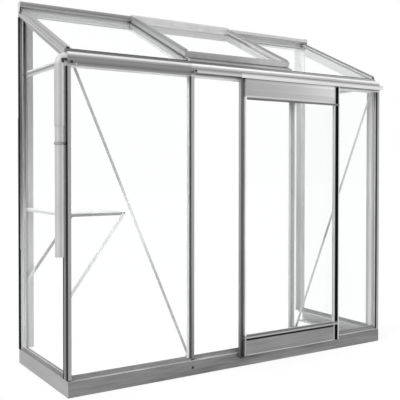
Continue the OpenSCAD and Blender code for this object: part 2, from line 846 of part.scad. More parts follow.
// Kick sheet with a box rail behind its upper edge that carries the kick rail
module door_kick_panel() {
    w = door_w - 2 * stile_w;
    z0 = door_z + kick_lift;
    color(dull_alu) {
        sheet(z0, kick_top - z0, kick_r);
        translate([door_x - w / 2, sheet_y, kick_top - kick_back_h])
            cube([w, door_back_y - sheet_y, kick_back_h]);
        translate([door_x - w / 2, sheet_y + sheet_t, kick_top])
            cube([w, door_back_y - sheet_y - sheet_t, kick_seam]);
        translate([door_x + kick_r - w / 2, sheet_y, z0])
            cube([w - 2 * kick_r, door_back_y - sheet_y, sheet_t]);
    }
}

module door_glass() {
    w = door_w - 2 * stile_w + 2 * groove_d - 2 * pane_gap;
    z0 = kick_top + kick_seam + kick_rail_h / 2 + groove_fit;
    z1 = door_top - header_h + 2 * sheet_t;
    color(clear) difference() {
        translate([door_x - w / 2, door_glass_y, z0]) cube([w, glass_t, z1 - z0]);
        for (side = [-1, 1]) translate([door_x, 0, 0]) on_side(side)
            translate([-w / 2 - cut, door_glass_y - cut, z0 - cut])
                cube([groove_d - pane_gap + cut, glass_t + 2 * cut, kick_rail_h / 2 + pane_gap + cut]);
    }
}

// Hanger plates on the top rail, each with a pair of rollers on the running lips
module door_rollers() {
    gap = (track_slot - hanger_t) / 2;
    lip_mid = (slot_y - track_slot / 2 + track_face_y + track_wall) / 2;
    for (x = [door_left + roller_inset, door_left + door_w - roller_inset]) {
        color(alu) translate([x - hanger_w / 2, slot_y - hanger_t / 2, door_top])
            cube([hanger_w, hanger_t, roller_z - door_top]);
        color(black) translate([x, lip_mid - roller_w / 2, roller_z]) rotate([-90, 0, 0])
            cylinder(r = roller_r - pipe_fit, h = 2 * (slot_y - lip_mid) + roller_w, $fn = round_fn);
    }
}

// Sliders behind the foot of each stile that run along the face of the plinth
module door_guides() {
    color(black) for (x = [door_left, door_left + door_w - stile_w])
        translate([x, door_back_y, door_z]) cube([stile_w, door_gap - pipe_fit, guide_h]);
}

plinth_front();
plinth_end(-1);  // plinth_left
plinth_end(1);  // plinth_right
front_sill();
end_sills();
corner_post(-1);  // corner_post_left
corner_post(1);  // corner_post_right
wall_post(-1);  // wall_post_left
wall_post(1);  // wall_post_right
glazing_bar(-1);  // glazing_bar_left
glazing_bar(1);  // glazing_bar_right
eaves_gutter();
gutter_outlet();
downpipe();
pipe_clip();
end_ties();
gable_rafter(-1);  // gable_rafter_left
gable_rafter(1);  // gable_rafter_right
roof_bar(-1);  // roof_bar_left
roof_bar(1);  // roof_bar_right
ridge_plate();
ridge_caps();
front_braces();
front_glass(-1);  // front_glass_left
front_glass(1);  // front_glass_right
end_glass(-1);  // end_glass_left
end_glass(1);  // end_glass_right
roof_glass(-1);  // roof_glass_left
roof_glass(1);  // roof_glass_right
vent_sill();
vent_frame();
vent_hinge();
vent_glass();
door_track();
shelf_frame();
shelf_board();
shelf_struts();
door_stile(-1);  // door_stile_left
door_stile(1);  // door_stile_right
door_header();
door_kick_rail();
door_kick_panel();
door_glass();
door_rollers();
door_guides();
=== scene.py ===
"""Lean-to glass greenhouse: finishes, seals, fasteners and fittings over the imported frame, with light and camera."""

import math

import bmesh
import bpy
from mathutils import Matrix, Vector


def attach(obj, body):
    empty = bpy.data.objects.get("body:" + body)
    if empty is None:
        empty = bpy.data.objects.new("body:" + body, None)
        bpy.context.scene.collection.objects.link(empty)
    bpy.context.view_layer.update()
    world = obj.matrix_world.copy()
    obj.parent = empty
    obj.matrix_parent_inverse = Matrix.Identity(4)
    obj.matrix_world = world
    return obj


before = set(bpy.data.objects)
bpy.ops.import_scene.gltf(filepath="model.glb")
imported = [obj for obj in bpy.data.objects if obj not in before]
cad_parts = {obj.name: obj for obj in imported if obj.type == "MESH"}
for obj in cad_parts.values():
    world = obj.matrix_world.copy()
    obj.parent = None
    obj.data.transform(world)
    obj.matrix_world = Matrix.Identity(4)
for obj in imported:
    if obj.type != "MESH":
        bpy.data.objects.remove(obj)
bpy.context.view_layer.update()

# Measures of the greenhouse, in millimetres as in its source, turned to metres where a mesh is made
MM = 0.001

# Roof: its slope, the height of its top line above the front glass, and the depth of a gable rafter
PITCH = math.radians(24.6)
EAVES = 1824.0
GABLE_DEPTH = 53.0

# Distances from the middle: sides, end glass, glazing bars, corner posts and gable rafters
SIDE = 1135.0
END = 1112.0
BAY = 378.0
WEB = 20.0
POST_OUT = 1134.0
POST_IN = 1116.0
RAFTER_OUT = 1126.0
RAFTER_IN = 1106.0

# Front to back: front of the webs, back of the corner posts and back of the wall posts
WEB_FRONT = -23.0
POST_BACK = 45.3
WALL_Y = 787.0

# Heights: plinth, ledge of the sill, gutter, and the fin of the end ties between the end panes
PLINTH_TOP = 86.0
LEDGE_Z = 98.3
GUTTER_Z = 1727.0
FIN_LOW = 1763.0
FIN_HIGH = 1769.3

# Sliding door at rest, and the track that it hangs from
DOOR_LEFT = -60.0
DOOR_RIGHT = 736.0
DOOR_FOOT = 66.0
DOOR_TOP = 1735.0
DOOR_FACE = -50.0
PANE_FACE = -37.0
STILE = 43.0
KICK_TOP = 158.0
KICK_RAIL_LOW = 166.0
KICK_RAIL_TOP = 189.0
HEADER_LOW = 1628.0
TRACK_RIGHT = 1128.0
TRACK_LOW = 1742.0

# Trim: radius of the beads and of their corners, thickness of the strips on a web, and rounding of small edges
BEAD = 1.8
BEAD_CORNER = 3.0
STRIP = 1.4
EDGE = 0.3

# A noise strays about a quarter from its middle, and this brings that to about one
SWING = 4.0


def roof_point(x, s, n):
    """A point s up the slope from the eaves and n above the roof line."""
    return (x, s * math.cos(PITCH) - n * math.sin(PITCH), EAVES + s * math.sin(PITCH) + n * math.cos(PITCH))


def roof_height(y, n):
    """The height of a point at a depth y that lies n above the roof line."""
    return EAVES + y * math.tan(PITCH) + n / math.cos(PITCH)


def linear(tone):
    """The linear value of a grey as it looks on the screen, 0 to 255."""
    v = tone / 255.0
    return v / 12.92 if v <= 0.04045 else ((v + 0.055) / 1.055) ** 2.4


class Val:
    """A shader socket that adds its Math nodes when Python works with it."""

    def __init__(self, shade, socket):
        self.shade = shade
        self.socket = socket

    def math(self, operation, *others):
        values = {i: v for i, v in enumerate((self, *others))}
        return self.shade.value("ShaderNodeMath", {"operation": operation}, values)

    def __add__(self, other):
        return self.math("ADD", other)

    __radd__ = __add__

    def __sub__(self, other):
        return self.math("SUBTRACT", other)

    def __rsub__(self, other):
        return self.shade.value("ShaderNodeMath", {"operation": "SUBTRACT"}, {0: other, 1: self})

    def __mul__(self, other):
        return self.math("MULTIPLY", other)

    __rmul__ = __mul__

    def __gt__(self, other):
        return self.math("GREATER_THAN", other)

    def __lt__(self, other):
        return self.math("LESS_THAN", other)

    def clamped(self):
        return self.math("MINIMUM", 1.0).math("MAXIMUM", 0.0)


class Shade:
    """One material's nodes. node() makes any node, and expressions on Val sockets make the Math nodes."""

    def __init__(self, name):
        self.material = bpy.data.materials.new(name)
        self.material.use_nodes = True
        self.tree = self.material.node_tree
        self.tree.nodes.clear()
        self.place = self.value("ShaderNodeTexCoord", {}, {}, "Object")

    def node(self, kind, settings, values):
        made = self.tree.nodes.new(kind)
        for key, setting in settings.items():
            if key == "stops":
                elements = made.color_ramp.elements
                last = len(setting) - 1
                elements[0].position, elements[1].position = setting[0][0], setting[last][0]
                for i, (spot, tone) in enumerate(setting):
                    element = elements[i] if i in (0, last) else elements.new(spot)
                    element.color = (tone, tone, tone, 1.0)
            else:
                setattr(made, key, setting)
        for key, value in values.items():
            socket = made.inputs[key]
            if isinstance(value, Val):
                self.tree.links.new(value.socket, socket)
            else:
                socket.default_value = value
        return made

    def value(self, kind, settings, values, output=0):
        return Val(self, self.node(kind, settings, values).outputs[output])

    def axis(self, name):
        return self.value("ShaderNodeSeparateXYZ", {}, {0: self.place}, name)

    def above_roof(self):
        """How far a point lies above the roof line, square to the slope."""
        raised = self.axis("Z") * math.cos(PITCH) - self.axis("Y") * math.sin(PITCH)
        return raised - EAVES * MM * math.cos(PITCH)

    def along(self, name):
        return self.above_roof() if name == "N" else self.axis(name)

    def bands(self, along, stops):
        """Greys that change along an axis or above the roof, from stops of a place in millimetres and a tone."""
        place = self.along(along)
        low, high = stops[0][0], stops[-1][0]
        spread = [((at - low) / (high - low), linear(tone)) for at, tone in stops]
        fac = (place - low * MM) * (1.0 / ((high - low) * MM))
        return self.value("ShaderNodeValToRGB", {"stops": spread}, {"Fac": fac})

    def level(self, tone, zones):
        """A tone, and over it what each zone shows where its mask is."""
        level = self.value("ShaderNodeMath", {"operation": "ADD"}, {0: linear(tone), 1: 0.0})
        for mask_of, shown in zones:
            grey = self.bands(*shown) if isinstance(shown, tuple) else linear(shown)
            level = grey if mask_of is None else level + mask_of(self) * (grey - level)
        return level

    def facing(self, name):
        """The surface's own direction along an axis of the greenhouse."""
        normal = self.value("ShaderNodeNewGeometry", {}, {}, "Normal")
        return self.value("ShaderNodeSeparateXYZ", {}, {0: normal}, name)

    def stretched(self, scale, turn=0.0):
        """The place on the object, turned about X and then stretched, for a pattern that runs along a profile."""
        source = self.place
        if turn:
            source = self.value("ShaderNodeMapping", {}, {"Vector": source, "Rotation": (turn, 0.0, 0.0)})
        return self.value("ShaderNodeMapping", {}, {"Vector": source, "Scale": scale})

    def noise(self, where, scale, detail, rough):
        values = {"Vector": where, "Scale": scale, "Detail": detail, "Roughness": rough}
        return self.value("ShaderNodeTexNoise", {"noise_dimensions": "3D"}, values, "Fac")

    def grey(self, level):
        """A neutral colour from a number that varies over the surface."""
        white = (1.0, 1.0, 1.0)
        return self.value("ShaderNodeVectorMath", {"operation": "SCALE"}, {0: white, "Scale": level}, "Vector")

    def bump(self, height, distance, strength):
        values = {"Height": height, "Distance": distance, "Strength": strength}
        return self.value("ShaderNodeBump", {}, values, "Normal")

    def finish(self, shader):
        self.node("ShaderNodeOutputMaterial", {}, {"Surface": shader})
        return self.material


# How the streaks of a profile run: the stretch of the pattern, and its turn about X
RUNS = {
    "x": ((1.2, 60.0, 60.0), 0.0),
    "y": ((60.0, 1.2, 60.0), 0.0),
    "z": ((60.0, 60.0, 1.2), 0.0),
    "slope": ((60.0, 1.2, 60.0), -PITCH),
}


def aluminium(name, tone, run="x", zones=(), streak=0.10, cloud=0.10, rough=0.42, metal=0.55):
    """Mill-finish aluminium: drawn streaks along the profile, dull clouds of weather and fine grain.

    Each zone is a function that gets the shade and returns a mask, or None for everywhere, with what the mask
    shows: one tone, or an axis and the stops of its bands."""
    s = Shade(name)
    stretch, turn = RUNS[run]
    lines = s.noise(s.stretched(stretch, turn), scale=4.0, detail=3.0, rough=0.62)
    wide = tuple(v ** 0.55 for v in stretch)
    bands = s.noise(s.stretched(wide, turn), scale=2.1, detail=2.0, rough=0.5)
    grain = s.noise(s.place, scale=700.0, detail=2.0, rough=0.6)
    level = s.level(tone, zones)
    wear = 1.0 + (lines - 0.5) * (streak * SWING) + (bands - 0.5) * (cloud * SWING) + (grain - 0.5) * 0.08
    colour = s.grey(level * wear)
    roughness = (rough + (bands - 0.5) * 0.35 + (lines - 0.5) * 0.25).clamped()
    normal = s.bump(lines * 0.8 + grain * 0.2, distance=0.0006, strength=0.22)
    values = {"Base Color": colour, "Roughness": roughness, "Metallic": metal, "Normal": normal}
    return s.finish(s.value("ShaderNodeBsdfPrincipled", {}, values))


def moulded(name, tone, rough=0.38, grain_size=260.0, depth=0.00025, variation=0.06, zones=(), specular=0.5):
    """Moulded plastic or rubber: an even colour with faint clouds and a fine skin."""
    s = Shade(name)
    cloud = s.noise(s.place, scale=9.0, detail=3.0, rough=0.55)
    skin = s.noise(s.place, scale=grain_size, detail=2.0, rough=0.6)
    wear = 1.0 + (cloud - 0.5) * (variation * SWING) + (skin - 0.5) * variation
    colour = s.grey(s.level(tone, zones) * wear)
    roughness = (rough + (cloud - 0.5) * 0.2 + (skin - 0.5) * 0.1).clamped()
    normal = s.bump(skin, distance=depth, strength=0.25)
    values = {"Base Color": colour, "Roughness": roughness, "Normal": normal, "Specular IOR Level": specular}
    return s.finish(s.value("ShaderNodeBsdfPrincipled", {}, values))


def clear_pane(name):
    """Clear float glass that lets the lamps through, with a trace of dust in its roughness."""
    s = Shade(name)
    dust = s.noise(s.place, scale=5.0, detail=4.0, rough=0.6)
    values = {
        "Base Color": (0.985, 0.992, 0.99, 1.0),
        "Roughness": (dust * 0.04).clamped(),
        "IOR": 1.16,
        "Transmission Weight": 1.0,
    }
    glass = s.value("ShaderNodeBsdfPrincipled", {}, values)
    open_way = s.value("ShaderNodeBsdfTransparent", {}, {"Color": (0.97, 0.98, 0.98, 1.0)})
    shadow = s.value("ShaderNodeLightPath", {}, {}, "Is Shadow Ray")
    return s.finish(s.value("ShaderNodeMixShader", {}, {0: shadow, 1: glass, 2: open_way}))


def between(along, low, high):
    """A zone along an axis or above the roof, in millimetres."""

    def mask(s):
        place = s.along(along)
        return (place > low * MM) * (place < high * MM)

    return mask


def looking(axis, sign, least=0.5):
    """The faces that look along an axis."""

    def mask(s):
        return s.facing(axis) * sign > least

    return mask


def both(*masks):
    def mask(s):
        value = masks[0](s)
        for other in masks[1:]:
            value = value * other(s)
        return value

    return mask


# Faces by the way they look, which the zones below use to paint one side of a part lighter or darker as the light
# falls on it
LEFT = looking("X", -1.0)
FRONT = looking("Y", -1.0)
UNDER = looking("Z", -1.0)
TOP = looking("Z", 1.0)

# Places that more than one line of the finishes names
BAR_LEDGE = between("Y", 2.9, 9)
WALL_PLATE = between("Y", 784, 788)
HOOD_NOSE = between("Y", 744, 748)
RIGHT_BAY = between("X", 378, 1136)
REAR_STRUT = between("Y", 700, 790)
STILE_LIP = between("X", -27, -16.5)
VENT_INSIDE = both(between("X", 366, 370), LEFT)

# Greys over the profiles: stops of a place in millimetres and a tone, along the axis that the finish names
# Most stops are painted light and shade: highlights on lips and edges, shade in recesses and under parts, and greys
# that change along a part where the light does
gutter_face = [(1727, 160), (1745, 115), (1762, 140), (1773, 132), (1781, 165), (1789, 238), (1795, 236), (1801, 140)]
gutter_face_right = [(1727, 236), (1746, 110), (1762, 140), (1775, 145), (1789, 246), (1797, 244), (1801, 222)]
upstand = [(-1135, 116), (-388, 124), (-100, 140), (150, 158), (400, 176), (1135, 184)]
vent_outer_side = [(0, 140), (8, 198), (20, 186), (31, 162), (44, 176)]
vent_inner_side = [(0, 180), (24, 196), (35, 160), (37.5, 132), (41, 176), (44, 150)]
vent_inner_side_high = [(0, 176), (12, 158), (30, 172), (44, 150)]
rafter_side = [(-80, 160), (-51, 144), (-46, 152), (-33, 205), (-22, 172), (-10, 150), (1, 186)]
ridge_hood = [(2186, 132), (2190, 134), (2197, 146), (2203, 158), (2208, 176)]
wall_post_tall = [(100, 222), (600, 214), (1130, 162), (1500, 136), (1860, 168), (2150, 158)]
wall_flange_tall = [(100, 208), (600, 206), (1130, 192), (1500, 164), (1860, 160), (2150, 150)]
wall_leg_tall = [(100, 214), (900, 196), (1130, 150), (1500, 128), (1860, 110), (2150, 100)]
track_face = [(1742, 214), (1747, 234), (1755, 226), (1760, 196), (1764, 176)]
track_face_left = [(1742, 188), (1748, 208), (1754, 190), (1759, 160), (1764, 150)]
vent_front = [(-388, 174), (0, 184), (160, 204), (388, 212)]
pipe_round = [(-1193, 178), (-1186, 190), (-1179, 181), (-1173, 176), (-1166, 206), (-1160, 240), (-1151, 250)]
header_width = [(-60, 172), (0, 177), (140, 182), (400, 196), (620, 216), (736, 226)]
header_head = [(-60, 182), (140, 194), (400, 212), (620, 238), (736, 240)]
header_low = [(-60, 170), (140, 178), (400, 188), (620, 202), (736, 208)]
kick_rail = [(166, 50), (169.6, 64), (171, 182), (177, 182), (179, 116), (190, 116)]
bar_left_tall = [(100, 132), (200, 140), (500, 156), (900, 172), (1700, 178)]
bar_left_edge = [(100, 70), (300, 84), (600, 120), (900, 150), (1700, 166)]
stile_side = [(66, 112), (180, 112), (320, 136), (1000, 152), (1735, 168)]
stile_dark = [(66, 38), (140, 48), (200, 74), (320, 82), (1100, 100), (1735, 108)]
tie_side = [(1750, 196), (1755, 164), (1768, 160), (1773, 196), (1783, 212)]
brace_left = [(100, 178), (600, 184), (850, 230), (1000, 222), (1150, 184), (1727, 172)]
# Painted shadow of the gap in the left wall post: black under the roof, paler lower down
painted_shadow_gap_stops = [(900, 196), (1130, 140), (1500, 108), (1860, 72), (2000, 26), (2100, 22)]

# The finish of each node. A metal one gives its name, its plain tone, how its streaks run, and the zones that show
# another tone or the stops of one
# Most zones paint light and shade onto the metal; the lines below say what each one paints
finishes = {
    # Plinth: a painted highlight along the front's top edge, and the end pieces painted lighter than the front, as
    # painted light on faces turned to the lamp
    "plinth_front": aluminium(
        "plinth_front_metal", 128, "x", [(between("Z", 83.5, 86.5), 206)], streak=0.34, cloud=0.34),
    "plinth_left": aluminium("plinth_left_metal", 156, "y", streak=0.10, cloud=0.14),
    "plinth_right": aluminium("plinth_right_metal", 188, "y", streak=0.16, cloud=0.18),
    "front_sill": aluminium("sill_metal", 148, "x"),
    "end_sills": aluminium("end_sill_metal", 146, "y", [(between("Z", 85, 92), 162)]),
    # Corner posts: painted shade on the outer sides by the front, and on the right post a painted light band further
    # back
    "corner_post_left": aluminium(
        "corner_left_metal", 160, "z",
        [(both(between("Y", 9, 46), LEFT), 120), (both(between("Y", -23.5, 9), LEFT), 56)]),
    "corner_post_right": aluminium(
        "corner_right_metal", 170, "z",
        [(both(between("Y", 20, 46), LEFT), 196), (both(between("Y", -23.5, -8), LEFT), 40)]),
    # Wall posts: painted light and shade in greys that change up the height, the left post's leg painted pale at its
    # foot and darker toward its head, and the right post given a painted lighter band and head
    "wall_post_left": aluminium(
        "wall_post_left_metal", 200, "z",
        [(None, ("Z", wall_post_tall)), (between("Y", 783, 788), ("Z", wall_flange_tall)),
         (both(between("Y", 741, 768), between("X", -1111, -1103)), ("Z", wall_leg_tall))]),
    "wall_post_right": aluminium(
        "wall_post_right_metal", 198, "z",
        [(between("X", 1040, 1064), 232), (between("Z", 1800, 2200), 212)]),
    # Glazing bars: ledges behind the glass painted pale against their shade, the left bar's front and edge painted
    # darker toward the foot, and the right bar's left side painted darker as shade
    "glazing_bar_left": aluminium(
        "bar_left_metal", 170, "z",
        [(FRONT, ("Z", bar_left_tall)), (both(FRONT, between("X", -388.5, -383)), ("Z", bar_left_edge)),
         (BAR_LEDGE, 248)]),
    "glazing_bar_right": aluminium(
        "bar_right_metal", 172, "z",
        [(BAR_LEDGE, 250), (both(BAR_LEDGE, between("X", 340, 370)), 232), (LEFT, 156),
         (both(between("X", 377, 388.5), FRONT), 250)]),
    # Gutter: a painted highlight on the rounded lip, painted shade below it and under the track, the back wall's
    # painted shade easing toward the right, a pale painted foot and a lighter left end
    "eaves_gutter": aluminium(
        "gutter_metal", 136, "x",
        [(FRONT, ("Z", gutter_face)),
         (both(between("X", -388, 1136), FRONT), ("Z", gutter_face_right)),
         (both(between("Z", 1801.5, 1830), FRONT), ("X", upstand)),
         (between("Z", 1700, 1727.4), 250), (LEFT, 200)], streak=0.07, cloud=0.12),
    "gutter_outlet": moulded("outlet_plastic", 200),
    # Downpipe: painted shading across the round pipe, lightest on its right
    "downpipe": moulded("pipe_plastic", 190, zones=[(None, ("X", pipe_round))]),
    "pipe_clip": aluminium("clip_metal", 150, "x"),
    # End ties: painted shade through the middle of the tie's height, with its upper band painted light
    "end_ties": aluminium("tie_metal", 165, "y", [(None, ("Z", tie_side))]),
    # Left gable rafter: painted light and dark lines along its side; roof bars: painted shade on their left sides by
    # the gap and near the wall
    "gable_rafter_left": aluminium("gable_left_metal", 176, "slope", [(LEFT, ("N", rafter_side))]),
    "gable_rafter_right": aluminium("gable_right_metal", 182, "slope"),
    "roof_bar_left": aluminium("roof_bar_left_metal", 186, "slope", [(both(between("N", -8, 1), LEFT), 128)]),
    "roof_bar_right": aluminium(
        "roof_bar_right_metal", 176, "slope", [(both(between("Y", 560, 770), LEFT), 138)]),
    # Ridge plate: the plate behind the hood and its lip painted pale against their shade, the hood's nose darkening
    # toward its foot, painted dark lines near the plate's foot, and the lowest band at the right painted pale
    "ridge_plate": aluminium(
        "ridge_metal", 190, "x",
        [(WALL_PLATE, 246), (both(WALL_PLATE, between("X", -378, 378), FRONT), 190),
         (both(between("X", -1136, -388), between("Z", 2171, 2184), FRONT), 200),
         (both(HOOD_NOSE, FRONT), ("Z", ridge_hood)),
         (both(HOOD_NOSE, RIGHT_BAY), 214),
         (between("Y", 756, 760), 244), (both(between("Z", 2122, 2126), FRONT), 150),
         (both(RIGHT_BAY, between("Z", 2136, 2142), FRONT), 150),
         (both(RIGHT_BAY, between("Z", 2122, 2136), FRONT), 255)], streak=0.07, cloud=0.04, metal=0.15),
    "ridge_caps": moulded("ridge_cap_plastic", 205),
    # Left brace: painted light, lightest a little below mid-height
    "front_braces": aluminium("brace_metal", 200, "z", [(between("X", -1136, -370), ("Z", brace_left))]),
    # Vent sill and frame: painted light that grows toward the right, painted shade on the sill's front by the roof
    # line, painted light and shade across the side bars, the rear bar painted lighter and the tops darker
    "vent_sill": aluminium(
        "vent_sill_metal", 172, "x", [(None, ("X", vent_front)), (both(between("N", -7.7, 1), FRONT), 134)]),
    "vent_frame": aluminium(
        "vent_metal", 160, "slope",
        [(None, ("X", vent_front)), (TOP, 150), (between("Y", 712, 745), 210),
         (both(between("X", -389, -387), LEFT), ("N", vent_outer_side)),
         (VENT_INSIDE, ("N", vent_inner_side)),
         (both(VENT_INSIDE, between("Y", 500, 745)), ("N", vent_inner_side_high))]),
    "vent_hinge": aluminium("vent_hinge_metal", 214, "x"),
    # Track: painted highlight and shade on its face, and its underside painted dark at the left, where it lies in
    # shade
    "door_track": aluminium(
        "track_metal", 228, "x",
        [(FRONT, ("Z", track_face)), (both(between("X", -373, -60), FRONT), ("Z", track_face_left)),
         (UNDER, 100), (both(between("X", -60, 1130), UNDER), 190)], streak=0.04, cloud=0.05),
    # Shelf rails: faces turned to the left painted lighter, as painted light
    "shelf_frame": aluminium("shelf_rail_metal", 165, "x", [(LEFT, 190)]),
    "shelf_board": aluminium("shelf_board_metal", 240, "x", streak=0.03, cloud=0.03),
    "shelf_struts": aluminium(
        "strut_metal", 236, "z",
        [(REAR_STRUT, 158), (both(REAR_STRUT, between("X", -1107, -1046)), 214)]),
    # Door stiles: painted shade in the channels, darkest at the foot of the left one, a painted highlight on the left
    # stile's right lip, and the right stile's outer edge painted light
    "door_stile_left": aluminium(
        "stile_left_metal", 160, "z",
        [(LEFT, ("Z", stile_side)), (both(between("X", -59.8, -27), FRONT), ("Z", stile_dark)),
         (STILE_LIP, 250), (both(STILE_LIP, between("Z", 60, 186)), 168),
         (both(STILE_LIP, between("Z", 1628, 1736)), 178)]),
    "door_stile_right": aluminium(
        "stile_right_metal", 198, "z", [(between("X", 699, 728), 34), (between("X", 728, 737), 222)]),
    # Door header: painted light that grows toward the right, with a lighter head and foot
    "door_header": aluminium(
        "header_metal", 184, "x",
        [(None, ("X", header_width)), (between("Z", 1715, 1736), ("X", header_head)),
         (between("Z", 1636, 1668), ("X", header_low)), (between("Z", 1627, 1636), 206)], streak=0.05, cloud=0.06),
    # Kick rail and panel: painted shade at the rail's foot and by the left stile, a pale band along the panel's foot,
    # and painted shade under the rail
    "door_kick_rail": aluminium(
        "kick_rail_metal", 178, "x",
        [(None, ("Z", kick_rail)), (between("X", -51, -29), 70)], streak=0.06, cloud=0.06),
    "door_kick_panel": aluminium(
        "kick_panel_metal", 144, "x",
        [(between("Z", 66, 72), 200), (between("Z", 155.6, 159), 84)], streak=0.20, cloud=0.22),
    "door_rollers": moulded("roller_nylon", 40),
    "door_guides": moulded("guide_nylon", 30),
}
pane = clear_pane("clear_glass")
for node in ("front_glass_left", "front_glass_right", "end_glass_left", "end_glass_right",
             "roof_glass_left", "roof_glass_right", "vent_glass", "door_glass"):
    finishes[node] = pane

for node, material in finishes.items():
    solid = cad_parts[node]
    solid.data.materials.clear()
    solid.data.materials.append(material)


def seal_skin(name, tone, rough=0.7, depth=0.0003, variation=0.10, zones=(), specular=0.2):
    """Extruded rubber or vinyl, with a finer skin than the moulded parts."""
    return moulded(name, tone, rough, 420.0, depth, variation, zones, specular)


def bolt_steel(name, tone, rough):
    return aluminium(name, tone, "z", streak=0.04, cloud=0.08, rough=rough, metal=0.6)


rubber = seal_skin("seal_rubber", 12)
worn_rubber = seal_skin("worn_rubber", 56, 0.6, variation=0.12, specular=0.3)
# Painted shadow: the grey of the strip in the left wall post, darkening to black toward the roof
painted_shadow_gap = seal_skin("painted_shadow_gap", 60, zones=[(None, ("Z", painted_shadow_gap_stops))])
capping_rubber = seal_skin("capping_rubber", 138)
vinyl = seal_skin("glazing_vinyl", 228, 0.5, depth=0.0002, variation=0.05, specular=0.3)
# Dark grey with a coarse grain: painted shade for the strip under the door's header
painted_shade_grey = moulded("painted_shade_grey", 118, 0.8, grain_size=900.0, depth=0.0006, variation=0.30, specular=0.2)
nylon = moulded("plug_nylon", 34, 0.45)
cap_plastic = moulded("ridge_end_plastic", 150)
dark_bolt_metal = bolt_steel("dark_bolt_metal", 44, 0.4)
pale_bolt_metal = bolt_steel("pale_bolt_metal", 188, 0.35)
lip_metal = aluminium("track_lip_metal", 236, "x", streak=0.04, cloud=0.05)
# The header's edge strips carry the same painted light, lighter toward the right
strip_metal = aluminium("header_strip_metal", 190, "x", [(None, ("X", header_width))], streak=0.06, cloud=0.06)


def piece(name, mesh, body, slot, *materials):
    """Puts a finished mesh into the scene as a piece that rides on a body."""
    for material in materials:
        mesh.materials.append(material)
    made = bpy.data.objects.new(name, mesh)
    bpy.context.scene.collection.objects.link(made)
    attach(made, body)
    return made


def vec(point):
    return Vector(point) * MM


class Parts:
    """Small solid parts gathered into one mesh, each with its edges rounded."""

    def __init__(self):
        self.mesh = bmesh.new()

    def prism(self, outline, origin, across, up, depth, edge=EDGE):
        """An outline drawn across and up from an origin, given a depth along the outward direction."""
        across, up = Vector(across).normalized(), Vector(up).normalized()
        out = across.cross(up)
        part = bmesh.new()
        low = [part.verts.new(vec(Vector(origin) + across * a + up * b)) for a, b in outline]
        face = part.faces.new(low)
        grown = bmesh.ops.extrude_face_region(part, geom=[face])
        tops = [v for v in grown["geom"] if isinstance(v, bmesh.types.BMVert)]
        bmesh.ops.translate(part, verts=tops, vec=out * depth * MM)
        bmesh.ops.recalc_face_normals(part, faces=part.faces)
        bmesh.ops.bevel(part, geom=part.edges, offset=edge * MM, segments=2, affect="EDGES", clamp_overlap=True)
        self.join(part)

    def block(self, low, high):
        """A box between two corners."""
        (x0, y0, z0), (x1, y1, z1) = low, high
        self.prism([(x0, z0), (x1, z0), (x1, z1), (x0, z1)], (0, y1, 0), (1, 0, 0), (0, 0, 1), y1 - y0)

    def up_strip(self, start, first, last, height, depth):
        """A strip up the slope from one length to another past its start, with its depth along the front."""
        outline = [(first, 0), (last, 0), (last, height), (first, height)]
        slope_up = (0, math.cos(PITCH), math.sin(PITCH))
        square_up = (0, -math.sin(PITCH), math.cos(PITCH))
        self.prism(outline, start, slope_up, square_up, depth)

    def join(self, part):
        holder = bpy.data.meshes.new("part")
        part.to_mesh(holder)
        part.free()
        self.mesh.from_mesh(holder)
        bpy.data.meshes.remove(holder)

    def mirrored(self):
        """Adds the mirror image of everything so far across the middle of the greenhouse."""
        copy = self.mesh.copy()
        bmesh.ops.transform(copy, matrix=Matrix.Scale(-1.0, 4, (1, 0, 0)), verts=copy.verts)
        bmesh.ops.recalc_face_normals(copy, faces=copy.faces)
        self.join(copy)

    def done(self, name, body, slot, *materials):
        mesh = bpy.data.meshes.new(name)
        self.mesh.to_mesh(mesh)
        self.mesh.free()
        return piece(name, mesh, body, slot, *materials)


class Growth:
    """A Geometry Nodes tree with named inputs, built node by node."""

    def __init__(self, name, inputs):
        self.tree = bpy.data.node_groups.new(name, "GeometryNodeTree")
        self.tree.interface.new_socket("Geometry", in_out="INPUT", socket_type="NodeSocketGeometry")
        self.tree.interface.new_socket("Geometry", in_out="OUTPUT", socket_type="NodeSocketGeometry")
        for label, kind in inputs.items():
            self.tree.interface.new_socket(label, in_out="INPUT", socket_type=kind)
        self.given = self.tree.nodes.new("NodeGroupInput")

    def input(self, label):
        return self.given.outputs[label]

    def node(self, kind, settings, values):
        made = self.tree.nodes.new(kind)
        for key, setting in settings.items():
            setattr(made, key, setting)
        for key, value in values.items():
            for one in value if isinstance(value, list) else [value]:
                if isinstance(one, bpy.types.NodeSocket):
                    self.tree.links.new(one, made.inputs[key])
                else:
                    made.inputs[key].default_value = one
        return made.outputs[0]

    def finish(self, geometry):
        """Ends the tree in plain geometry with its material."""
        real = self.node("GeometryNodeRealizeInstances", {}, {"Geometry": geometry})
        last = self.node("GeometryNodeSetMaterial", {}, {"Geometry": real, "Material": self.input("Material")})
        self.tree.links.new(last, self.tree.nodes.new("NodeGroupOutput").inputs[0])
        return self.tree


def grown(name, source, tree, settings, body, slot):
    """Runs a tree on a source mesh and keeps what grows as a plain mesh."""
    seed = bpy.data.objects.new(name + "_source", source)
    bpy.context.scene.collection.objects.link(seed)
    modifier = seed.modifiers.new("growth", "NODES")
    modifier.node_group = tree
    for item in tree.interface.items_tree:
        if item.in_out == "INPUT" and item.name in settings:
            modifier[item.identifier] = settings[item.name]
    depsgraph = bpy.context.evaluated_depsgraph_get()
    mesh = bpy.data.meshes.new_from_object(seed.evaluated_get(depsgraph), depsgraph=depsgraph)
    bpy.data.objects.remove(seed)
    mesh.name = name
    return piece(name, mesh, body, slot)


